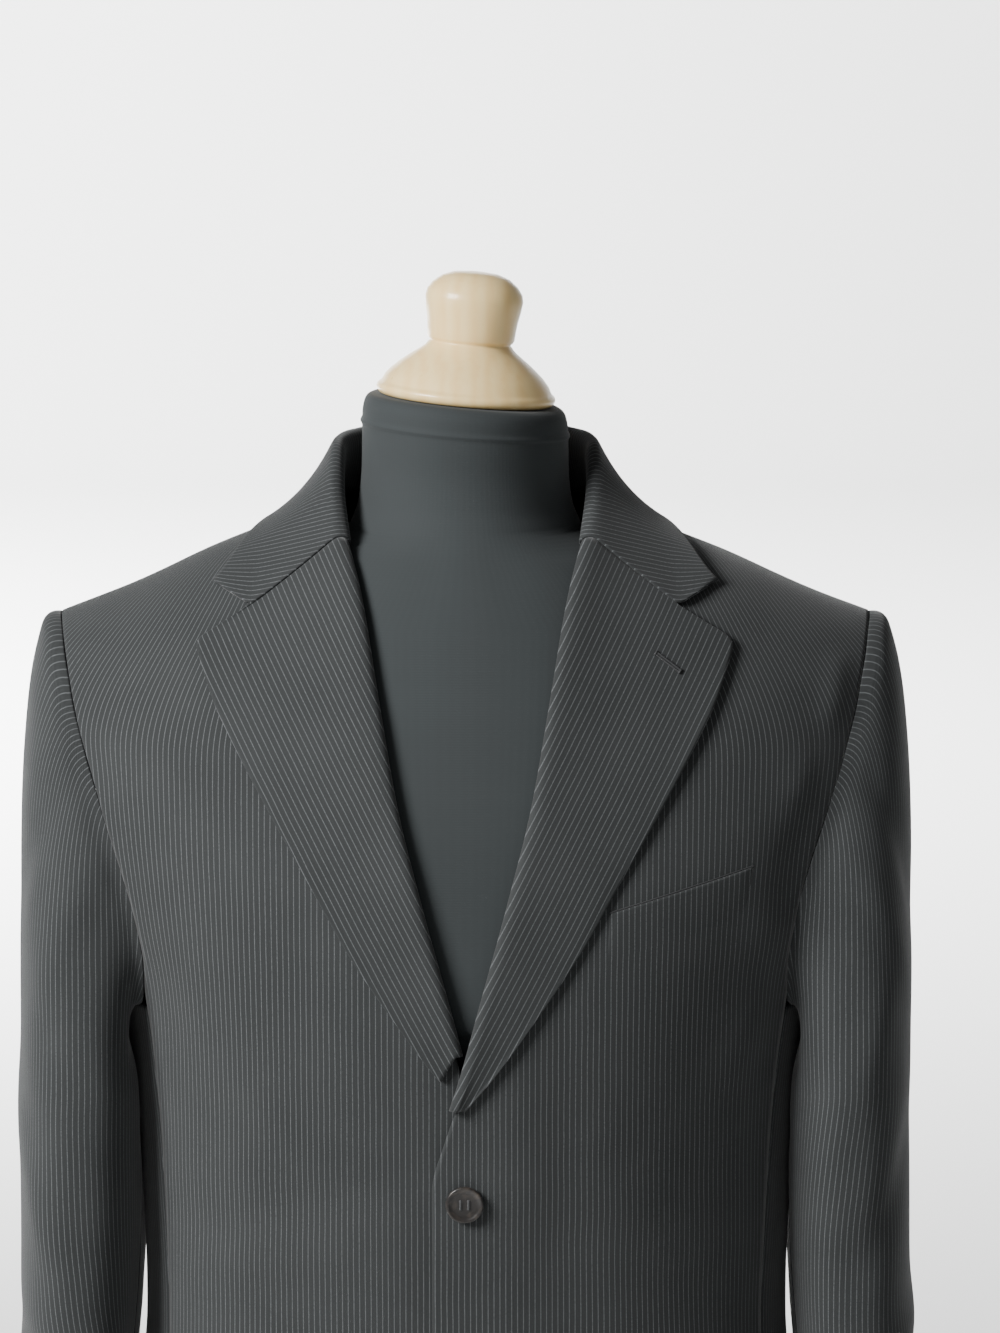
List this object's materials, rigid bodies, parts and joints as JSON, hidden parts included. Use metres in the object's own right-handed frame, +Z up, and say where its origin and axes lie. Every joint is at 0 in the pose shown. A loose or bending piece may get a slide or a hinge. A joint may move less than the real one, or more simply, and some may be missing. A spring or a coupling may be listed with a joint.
{
  "type": "two-piece suit on a dress form",
  "caption": "Notch-lapel single-breasted suit jacket and trousers in dark pinstriped cloth, worn on a limbless dress form with a turned wooden neck cap and a round stand.",
  "frame": {"origin": "on the floor, at the centre of the round base's underside", "axes": "+Z up along the form; the wearer faces -Y; the wearer's left is +X"},
  "size_m": [0.526, 0.41, 1.6919],
  "materials": {
    "suiting": "fine worsted wool, charcoal with a narrow light-grey pinstripe, matte",
    "button": "dark horn-look, softly polished",
    "jersey": "black stretch jersey over the form",
    "wood": "pale turned wood, clear satin lacquer",
    "steel": "brushed round tube"
  },
  "bodies": {
    "root": {"jacket_front_left": "suiting", "jacket_front_right": "suiting", "jacket_side_left": "suiting", "jacket_side_right": "suiting", "jacket_back_left": "suiting", "jacket_back_right": "suiting", "lapel_left": "suiting", "lapel_right": "suiting", "collar": "suiting", "sleeve_top_left": "suiting", "sleeve_top_right": "suiting", "sleeve_under_left": "suiting", "sleeve_under_right": "suiting", "breast_welt": "suiting", "pocket_flap_left": "suiting", "pocket_flap_right": "suiting", "trouser_front_left": "suiting", "trouser_front_right": "suiting", "trouser_back_left": "suiting", "trouser_back_right": "suiting", "waistband": "suiting", "front_button_upper": "button", "front_button_lower": "button", "cuff_button_left_1": "button", "cuff_button_left_2": "button", "cuff_button_left_3": "button", "cuff_button_left_4": "button", "cuff_button_right_1": "button", "cuff_button_right_2": "button", "cuff_button_right_3": "button", "cuff_button_right_4": "button", "form_torso": "jersey", "neck_cap": "wood", "stand_base": "wood", "stand_pole": "steel"}
  },
  "joints": []
}
